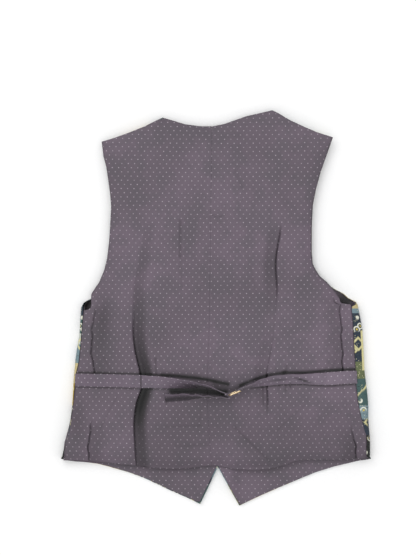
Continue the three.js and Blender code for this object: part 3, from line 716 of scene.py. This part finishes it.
def bend_at_hinge(piece, side):
    """Works out the front's fold line and its inward side, which nothing uses, and bakes the piece's
    transform into its mesh.
    """
    (top_x, top_y), (low_x, low_y) = hinge_line[side]
    line = Vector((low_x - top_x, low_y - top_y, 0)).normalized()
    inward = Vector((-line.y, line.x, 0))
    if inward.x * side > 0:
        inward = -inward
    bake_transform(piece)


for side in (-1, 1):
    word = words[side]
    places, flats = front_net(side, 0.0, 0.0, front_spacing)
    piece = front_piece(f"{word}_front_cloth", side, places, flats, print_finish[side], 0.7)
    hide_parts(f"{word}_side_shell", f"{word}_front_shell")
    if side < 0:
        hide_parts("left_buttonhole_band")
    lay(places)


# Front linings: pin-dot satin inside each front, turned in just short of the print at the hem and front edge.
# They show below the back's hem, where the two points are, and as a dark band in the right armhole, shadowed
# there by the back and darkened by painted shade along the armhole edge.
for side in (-1, 1):
    word = words[side]
    places, flats = front_net(side, 2.0, 2.6 if side < 0 else 1.4, front_spacing, 1.6)
    flats = np.stack([places[..., 0] + 3.0, places[..., 1]], -1)
    px, py = side * places[..., 0], places[..., 1]
    arm_edge = to_line(px, py, [(x, y) for y, x in front_outer[side] if 14 < y < 285])
    # Painted shade along the armhole edge, and in the notch at the foot of each armhole under the back's
    # corner.
    crease = 0.8 * hump(arm_edge, 0, 9) * (py > 12)
    crease = np.clip(crease + 1.2 * hump(px, 220, 17) * hump(py, 10, 13), 0, 1.0)
    piece = front_piece(f"{word}_front_lining_cloth", side, places, flats, back_finish, 0.5, crease)
    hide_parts(f"{word}_side_lining", f"{word}_front_lining")
    lay(places)


# Inner parts: a canvas and a facing beside each front edge, each a net.
# The pocket bags, the welts and the label keep the frame's shape and take their own materials.
def woven(name, dark, light, scale, roughness):
    """Plain cloth or thread in two tones, with its threads as a fine bump."""
    finish = Finish(name, roughness)
    where = finish.place()
    threads = finish.cloud(where, scale, 2.0)
    slow = finish.cloud(where, 14.0, 2.0)
    finish.color(finish.mix((threads * 0.6 + slow * 0.4).between(0.35, 0.65), linear(*dark), linear(*light)))
    finish.bump(threads, 0.0002)
    return finish


inner_finishes = {
    "canvas": woven("hair_canvas", (160, 146, 120), (196, 182, 154), 1400.0, 0.95),
    "welt": woven("welt_cotton", (34, 46, 58), (70, 92, 96), 900.0, 0.8),
    "bag": woven("pocket_cotton", (150, 148, 142), (178, 176, 170), 1600.0, 0.9),
    "label": woven("blank_label", (30, 32, 36), (46, 48, 54), 1800.0, 0.6),
    "thread": woven("dark_thread", (62, 56, 62), (92, 84, 92), 2400.0, 0.7),
    "facing": woven("facing_cotton", (38, 42, 46), (54, 58, 62), 1500.0, 0.85),
}


def repaint(node, finish):
    """Gives one of the frame's own parts a finish."""
    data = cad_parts[node].data
    data.materials.clear()
    data.materials.append(finish.material)


def inner_net(side, piece_name, x, nominal, height, finish, thickness):
    """One sheet inside a front, from its columns x in every row of nominal."""
    y = nominal + 0 * x
    places = np.stack([side * x, y, height + lifted(side, x)], -1)
    return front_piece(piece_name, side, places, np.stack([x, y], -1), finish, thickness), places


across_share = np.linspace(0, 1, 24)[None, :]
for side in (-1, 1):
    word = words[side]
    nominal = np.linspace(-318, 300, 150)[:, None]
    near_edge = straight(front_inner[side], nominal) + 7
    far_edge = np.minimum(near_edge + 68, straight(front_outer[side], nominal) - 14)
    x = near_edge + np.maximum(far_edge - near_edge, 1.0) * across_share
    piece, places = inner_net(side, f"{word}_canvas", x, nominal, 1.75, inner_finishes["canvas"], 0.4)
    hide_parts(f"{word}_front_canvas")
    lay(places)
    nominal = np.linspace(-236, 296, 150)[:, None]
    near_edge = straight(front_inner[side], nominal) + 2.2
    x = near_edge + 72 * across_share * np.clip((nominal + 236) / 30 + 0.25, 0, 1)
    x = np.minimum(x, straight(front_outer[side], nominal) - 6)
    piece, places = inner_net(side, f"{word}_facing", x, nominal, 2.95, inner_finishes["facing"], 0.24)
    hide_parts(f"{word}_front_facing")
    lay(places)
    repaint(f"{word}_pocket_bag", inner_finishes["bag"])
    repaint(f"{word}_welt", inner_finishes["welt"])
repaint("neck_label", inner_finishes["label"])


# Buttons: five four-hole buttons of dark horn, each on its own thread shank.
# Each keeps the frame's shape, with a raised rim and two bars of thread, in streaked and polished horn.
def wire(name, points, radius, finish, closed, sides=14):
    """Round wire along a line of places, open or closed."""
    points = [Vector(p) for p in points]
    count = len(points)
    vertices = []
    guide = None
    for i, p in enumerate(points):
        before = points[(i - 1) % count] if closed else points[max(i - 1, 0)]
        after = points[(i + 1) % count] if closed else points[min(i + 1, count - 1)]
        way = (after - before).normalized()
        if guide is None:
            guide = way.orthogonal().normalized()
        guide = (guide - way * guide.dot(way)).normalized()
        other = way.cross(guide)
        for k in range(sides):
            a = 2 * math.pi * k / sides
            vertices.append((p + guide * math.cos(a) * radius + other * math.sin(a) * radius) * MM)
    faces = []
    for i in range(count if closed else count - 1):
        j = (i + 1) % count
        for k in range(sides):
            next_k = (k + 1) % sides
            faces.append((i * sides + k, i * sides + next_k, j * sides + next_k, j * sides + k))
    if not closed:
        faces.append(tuple(reversed(range(sides))))
        faces.append(tuple((count - 1) * sides + k for k in range(sides)))
    return mesh_piece(name, vertices, faces, finish)


horn = Finish("dark_horn", 0.28, Coat_Weight=0.25)
streaks = horn.cloud(horn.add("ShaderNodeMapping", {}, horn.place(), None, None, (1.0, 4.0, 1.0)), 160.0, 4.0)
horn.color(horn.mix(streaks.between(0.35, 0.7), linear(30, 26, 26), linear(84, 70, 58)))
horn.rough(0.24 + streaks * 0.15)
horn.bump(streaks, 0.00005)
rim_reach = 7.1
hole_reach = 2.1
bar_height = 0.35
for number in range(1, 6):
    repaint(f"button_{number}", horn)
    repaint(f"button_thread_{number}", inner_finishes["thread"])
    low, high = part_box(f"button_{number}")
    middle_x, middle_y = (low[0] + high[0]) / 2 / MM, (low[1] + high[1]) / 2 / MM
    turns = np.radians(np.linspace(0, 360, 40, endpoint=False))
    rim_line = [(middle_x + rim_reach * math.cos(t), middle_y + rim_reach * math.sin(t), 0.55) for t in turns]
    rim = wire(f"button_rim_{number}", rim_line, 0.55, horn, True, 10)
    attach(rim, f"button_{number}")
    for k, dy in enumerate((-hole_reach, hole_reach)):
        line = [(middle_x + dx, middle_y + dy, bar_height) for dx in (-hole_reach, hole_reach)]
        bar = wire(f"button_bar_{number}_{k}", line, 0.5, inner_finishes["thread"], False, 8)
        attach(bar, f"button_{number}")


# Belt straps: two ribbons of the back's cloth, sewn into the side seams, tacked beside the long folds.
# From there each rolls onto its edge on the way to the buckle, which stands on edge too.
# Their satin is a lighter copy of the back's, as painted light on the raised straps.
lit_belt_finish = pin_dot_cloth("belt_satin_painted_light", (96, 84, 97), (113, 100, 114), (172, 162, 172), 0.5)
strap_base = 18.2
strap_thick = 1.1


def smooth_path(points, count):
    """Stations of several numbers, resampled along a smooth curve."""
    points = np.array(points, float)
    gaps = np.hypot(np.diff(points[:, 0]), np.diff(points[:, 1]))
    place = np.concatenate([[0], np.cumsum(gaps)])
    even = np.linspace(0, place[-1], count)
    return np.stack([along(list(zip(place, points[:, i])), even) for i in range(points.shape[1])], -1), even


def ribbon(name, stations, finish, count, crumple, seed, body, shade):
    """A flat strap through stations of x, y, base, roll in degrees and width, soft at its edges."""
    path, run = smooth_path(stations, count)
    rings = []
    flats = []
    profile = [(-1, 0), (-0.97, 0.8), (-0.86, 1), (-0.6, 0.9), (-0.3, 1), (0, 1.05), (0.3, 1), (0.6, 0.9),
               (0.86, 1), (0.97, 0.8), (1, 0), (0.97, -0.8), (0.86, -1), (0.3, -1), (-0.3, -1), (-0.86, -1),
               (-0.97, -0.8)]
    for i, (x, y, base, roll, width) in enumerate(path):
        ahead = path[min(i + 1, count - 1)] - path[max(i - 1, 0)]
        way = Vector((ahead[0], ahead[1], 0)).normalized()
        across = Vector((-way.y, way.x, 0))
        angle = math.radians(roll + crumple * 9 * noise.noise(Vector((run[i] / 17, seed, 0))))
        wide = across * math.cos(angle) + Vector((0, 0, math.sin(angle)))
        thick = across * -math.sin(angle) + Vector((0, 0, math.cos(angle)))
        rise = (abs(math.sin(angle)) * width + abs(math.cos(angle)) * strap_thick) / 2
        middle = Vector((x, y, base + rise))
        ring = []
        flat = []
        for u, v in profile:
            fold = crumple * 0.8 * noise.noise(Vector((run[i] / 9, u * 1.3, seed + 4)))
            pinch = 1 + 0.04 * crumple * noise.noise(Vector((run[i] / 12, 3, seed)))
            ring.append(middle + wide * (u * width / 2 * pinch) + thick * (v * strap_thick / 2 + fold))
            flat.append((run[i], u * width / 2))
        rings.append([tuple(p) for p in ring] + [tuple(ring[0])])
        flats.append(flat + [flat[0]])
    places = np.array(rings)
    n = len(profile)
    vertices = places[:, :n].reshape(-1, 3) * MM
    faces = []
    for i in range(count - 1):
        for k in range(n):
            a, b = i * n + k, i * n + (k + 1) % n
            faces.append((a, a + n, b + n, b))
    faces.append(tuple(range(n)))
    faces.append(tuple((count - 1) * n + k for k in reversed(range(n))))
    piece = mesh_piece(name, vertices, faces, finish)
    cloth_layer(piece, np.array(flats)[:, :n].reshape(-1, 2) * MM)
    # Painted shade along the strap, from shade at each share of its length and place across it.
    painted_shade_layer(piece, np.array([shade(r / run[-1], u) for r in run for u, v in profile]))
    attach(piece, body)
    width = float(path[:, 4].mean()) * MM
    return piece, [places[:, 2], places[:, 8]]


def stitch_tree():
    """Short rounded stitches, one after another along every line of a mesh."""
    tree = bpy.data.node_groups.new("stitches", "GeometryNodeTree")
    tree.interface.new_socket("Lines", in_out="INPUT", socket_type="NodeSocketGeometry")
    for name in ("Pitch", "Length", "Radius"):
        tree.interface.new_socket(name, in_out="INPUT", socket_type="NodeSocketFloat")
    tree.interface.new_socket("Thread", in_out="INPUT", socket_type="NodeSocketMaterial")
    tree.interface.new_socket("Stitches", in_out="OUTPUT", socket_type="NodeSocketGeometry")
    kinds = ["NodeGroupInput", "GeometryNodeMeshToCurve", "GeometryNodeResampleCurve",
             "GeometryNodeMeshUVSphere", "GeometryNodeInputTangent", "FunctionNodeAlignRotationToVector",
             "ShaderNodeCombineXYZ", "GeometryNodeInstanceOnPoints", "GeometryNodeRealizeInstances",
             "GeometryNodeSetMaterial", "NodeGroupOutput"]
    given, to_curve, spaced, grain, tangent, turned, sized, placed, real, painted, result = (
        tree.nodes.new(kind) for kind in kinds)
    spaced.mode = "LENGTH"
    grain.inputs["Segments"].default_value = 6
    grain.inputs["Rings"].default_value = 4
    grain.inputs["Radius"].default_value = 0.5
    turned.axis = "X"
    links = [(given, "Lines", to_curve, 0), (to_curve, 0, spaced, "Curve"),
             (given, "Pitch", spaced, "Length"), (tangent, 0, turned, "Vector"),
             (given, "Length", sized, 0), (given, "Radius", sized, 1),
             (given, "Radius", sized, 2), (spaced, 0, placed, "Points"), (grain, 0, placed, "Instance"),
             (turned, 0, placed, "Rotation"), (sized, 0, placed, "Scale"), (placed, 0, real, 0),
             (real, 0, painted, 0), (given, "Thread", painted, "Material"), (painted, 0, result, 0)]
    for start, output, end, socket in links:
        tree.links.new(start.outputs[output], end.inputs[socket])
    return tree


stitches = stitch_tree()


def stitched(name, lines, pitch, length, thick, finish, body):
    """A row of stitches along each line, as a plain mesh that rides on one body. Sizes are in millimetres."""
    vertices = [tuple(np.array(p) * MM) for line in lines for p in line]
    edges = []
    count = 0
    for line in lines:
        edges += [(count + i, count + i + 1) for i in range(len(line) - 1)]
        count += len(line)
    guide_mesh = bpy.data.meshes.new(name + "_guide")
    guide_mesh.from_pydata(vertices, edges, [])
    guide = bpy.data.objects.new(name + "_guide", guide_mesh)
    bpy.context.scene.collection.objects.link(guide)
    sewing = guide.modifiers.new("stitches", "NODES")
    sewing.node_group = stitches
    values = {"Pitch": pitch * MM, "Length": length * MM, "Radius": thick * MM, "Thread": finish.material}
    for item in stitches.interface.items_tree:
        if item.in_out == "INPUT" and item.name in values:
            sewing[item.identifier] = values[item.name]
    guide.update_tag()
    graph = bpy.context.evaluated_depsgraph_get()
    mesh = bpy.data.meshes.new_from_object(guide.evaluated_get(graph))
    bpy.data.objects.remove(guide)
    mesh.name = name
    mesh.polygons.foreach_set("use_smooth", [True] * len(mesh.polygons))
    piece = bpy.data.objects.new(name, mesh)
    bpy.context.scene.collection.objects.link(piece)
    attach(piece, body)
    return piece


buckle_pin = (24.0, -145.5)
buckle_turn = math.radians(24)


def in_buckle(u, w):
    """A place in plan from the buckle's own axes: along it from its pin, and to its left."""
    return (buckle_pin[0] + u * math.cos(buckle_turn) - w * math.sin(buckle_turn),
            buckle_pin[1] + u * math.sin(buckle_turn) + w * math.cos(buckle_turn))


upright_base = 20.8
upright_top = 38.8


def left_shade(t, u):
    """Painted shade on the lower half where the left strap has turned onto its edge."""
    return float(0.8 * step(t, 0.6, 0.85) * (1 - step(u, -0.1, 0.6)))


def right_shade(t, u):
    """Painted shade where the right strap twists, in a line across it, and in a patch after it."""
    twist = 1.1 * hump(u, (0.5 - t) * 7, 0.2) * hump(t, 0.48, 0.08)
    return float(twist + 0.7 * hump(u, -0.1, 0.2) * hump(t, 0.68, 0.1))


left_strap, left_seams = ribbon("left_strap", [
    (-238.5, -121.5, strap_base, 0, 22), (-180, -122.5, strap_base, 0, 22),
    (-124, -124.2, strap_base, 2, 21.5), (-92, -125.5, strap_base, 20, 21.5),
    (-60, -127.5, strap_base, 40, 21), (-18, -132, 19.2, 67, 19.5),
    (5, -138.5, 20.2, 84, 18.5), (17.2, -143.6, upright_base, 90, 18),
], lit_belt_finish, 190, 1.0, 2.0, "back", left_shade)
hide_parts("belt_strap_left")
right_end = in_buckle(27, 2.1)
right_strap, right_seams = ribbon("right_strap", [
    (240.5, -116.5, strap_base, 0, 22), (224, -117, strap_base, 0, 22), (188, -119.5, strap_base, 0, 21.5),
    (150, -120, strap_base, -14, 18), (120, -120.5, strap_base, -14, 17.5), (91, -123.3, strap_base, -34, 18),
    (64, -129, 19.4, -62, 18.5), (*right_end, upright_base, -90, 18),
], lit_belt_finish, 170, 1.1, 8.0, "back", right_shade)
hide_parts("belt_strap_right")


# Belt end in the buckle: the strap's folded loop on the hinge bar, the slotted stretch, and the free tail.
# The tail slides out through the buckle when the belt is tightened.
def upright_strip(name, line, low, high, finish, body, skip=None):
    """A strip that stands on its edge along a line in plan, with a slot left out if skip says so."""
    stations, levels = 40, 16
    path, run = smooth_path([(*p, 0) for p in line], stations)
    heights = np.linspace(low, high, levels)
    vertices = [(x, y, h) for x, y, _ in path for h in heights]
    faces = []
    for i in range(stations - 1):
        for k in range(levels - 1):
            if skip and skip(run[i] + run[1] / 2, (heights[k] + heights[k + 1]) / 2):
                continue
            a = i * levels + k
            faces.append((a, a + levels, a + levels + 1, a + 1))
    piece = mesh_piece(name, np.array(vertices) * MM, faces, finish)
    cloth_layer(piece, np.array([(r, h) for r in run for h in heights]) * MM)
    wall = piece.modifiers.new("cloth_thickness", "SOLIDIFY")
    wall.thickness = 1.0 * MM
    wall.offset = 0
    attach(piece, body)
    return piece


def tail_shade(t, u):
    """Painted shade all along the tail's face turned from the light, but for its upper edge."""
    return float((0.72 + 0.2 * hump(u, -0.3, 0.2)) * (1 - step(u, 0.72, 0.95)))


tail_slope = math.radians(0.9)
tail_length = 106
tail_bow = 2.4
tail_start = in_buckle(-5.3, -3.5)
tail_line = []
tail_turns = [(0, 90, 20.8), (0.2, 97, 20.4), (0.45, 114, 19.6), (0.7, 128, 18.9), (1, 141, 18.2)]
for share, roll, base in tail_turns:
    reach = tail_length * share
    tail_x = tail_start[0] - reach * math.cos(tail_slope)
    tail_y = tail_start[1] - reach * math.sin(tail_slope) + tail_bow * math.sin(math.pi * share)
    tail_line.append((tail_x, tail_y, base, roll, 18))
tail, tail_seams = ribbon("belt_free_tail", tail_line, lit_belt_finish, 110, 1.6, 5.0, "belt_tail", tail_shade)
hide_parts("belt_tail")

slotted_line = [in_buckle(27.0, 2.1), in_buckle(22, 2.1), in_buckle(18.6, 1.9), in_buckle(9.3, -0.7),
                in_buckle(0, -3.4), in_buckle(-2.5, -3.5), in_buckle(-5, -3.5)]
slot_middle = (upright_base + upright_top) / 2
slotted = upright_strip("belt_slotted_stretch", slotted_line, upright_base, upright_top, lit_belt_finish, "back",
                        lambda run, height: 13 < run < 31 and abs(height - slot_middle) < 1.3)
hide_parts("belt_slotted_part")
loop_way = Vector((-124 - buckle_pin[0], -125 - buckle_pin[1])).normalized()
loop_side = Vector((-loop_way.y, loop_way.x))
loop_line = []
over_bar = [(8.5, 0.75), (5, 0.9), (2.2, 1.6), (0.6, 1.95), (-1.2, 1.6)]
for back, off in over_bar + [(-2, 0)] + [(b, -o) for b, o in reversed(over_bar)]:
    place = Vector(buckle_pin) + loop_way * back + loop_side * off
    loop_line.append((place.x, place.y))
loop = upright_strip("belt_folded_loop", loop_line, upright_base, upright_top, lit_belt_finish, "back",
                     lambda run, height: 4.5 < run < 17 and abs(height - slot_middle) < 1.9)
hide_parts("belt_loop_left")
edge_thread = woven("belt_thread", (84, 75, 84), (112, 102, 112), 2400.0, 0.6)
stitched("left_strap_stitches", left_seams, 2.6, 1.9, 0.32, edge_thread, "back")
stitched("right_strap_stitches", right_seams, 2.6, 1.9, 0.32, edge_thread, "back")
stitched("tail_stitches", tail_seams, 2.6, 1.9, 0.32, edge_thread, "belt_tail")
tack_place = {-1: (-126.8, -114.5), 1: (126.8, -112.5)}
tack_length = 21.0
tack_height = 19.75
for side in (-1, 1):
    tack_x, tack_top = tack_place[side]
    ys = np.linspace(tack_top, tack_top - tack_length, 20)
    bars = [[(tack_x + shift, y, tack_height) for y in ys] for shift in (-0.55, 0.0, 0.55)]
    tack = stitched(f"{words[side]}_tack", bars, 1.0, 1.5, 0.6, inner_finishes["thread"], "back")
    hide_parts(f"belt_tack_{words[side]}")


# Buckle: a small frame of round brass wire with a wire prong coiled round its hinge bar.
# It is polished, with patches of darker, tarnished brass.
brass = Finish("brass", 0.26, Metallic=1.0)
tarnish = brass.cloud(brass.place(), 260.0, 3.0)
brass.color(brass.mix(tarnish.between(0.4, 0.75), linear(234, 212, 174), linear(178, 148, 106)))
brass.rough(0.2 + tarnish * 0.2)
brass.bump(brass.cloud(brass.place(), 1500.0), 0.00003)
buckle_low, buckle_high, buckle_long = 19.2, 40.4, 18.6
corner = 1.7
frame_line = []
for u, z, first in [(buckle_long - corner, buckle_high - corner, 0), (corner, buckle_high - corner, 90),
                    (corner, buckle_low + corner, 180), (buckle_long - corner, buckle_low + corner, 270)]:
    for turn in np.radians(np.linspace(first, first + 90, 7)):
        frame_line.append((*in_buckle(u + corner * math.cos(turn), 0), z + corner * math.sin(turn)))
buckle_bar = wire("buckle_bar", frame_line, 1.0, brass, True)
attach(buckle_bar, "buckle_frame")
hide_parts("buckle_frame")
middle = (buckle_low + buckle_high) / 2
coil = 2.05
prong_line = []
for turn in np.radians(np.linspace(90, 630, 50)):
    share = (math.degrees(turn) - 90) / 540
    prong_line.append((*in_buckle(coil * math.cos(turn), coil * math.sin(turn)), middle - 1.0 + share))
for u in np.linspace(2.5, 20.4, 14):
    prong_line.append((*in_buckle(u, -coil), middle))
prong = wire("buckle_prong", prong_line, 0.55, brass, False, 10)
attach(prong, "buckle_tongue")
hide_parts("buckle_tongue")
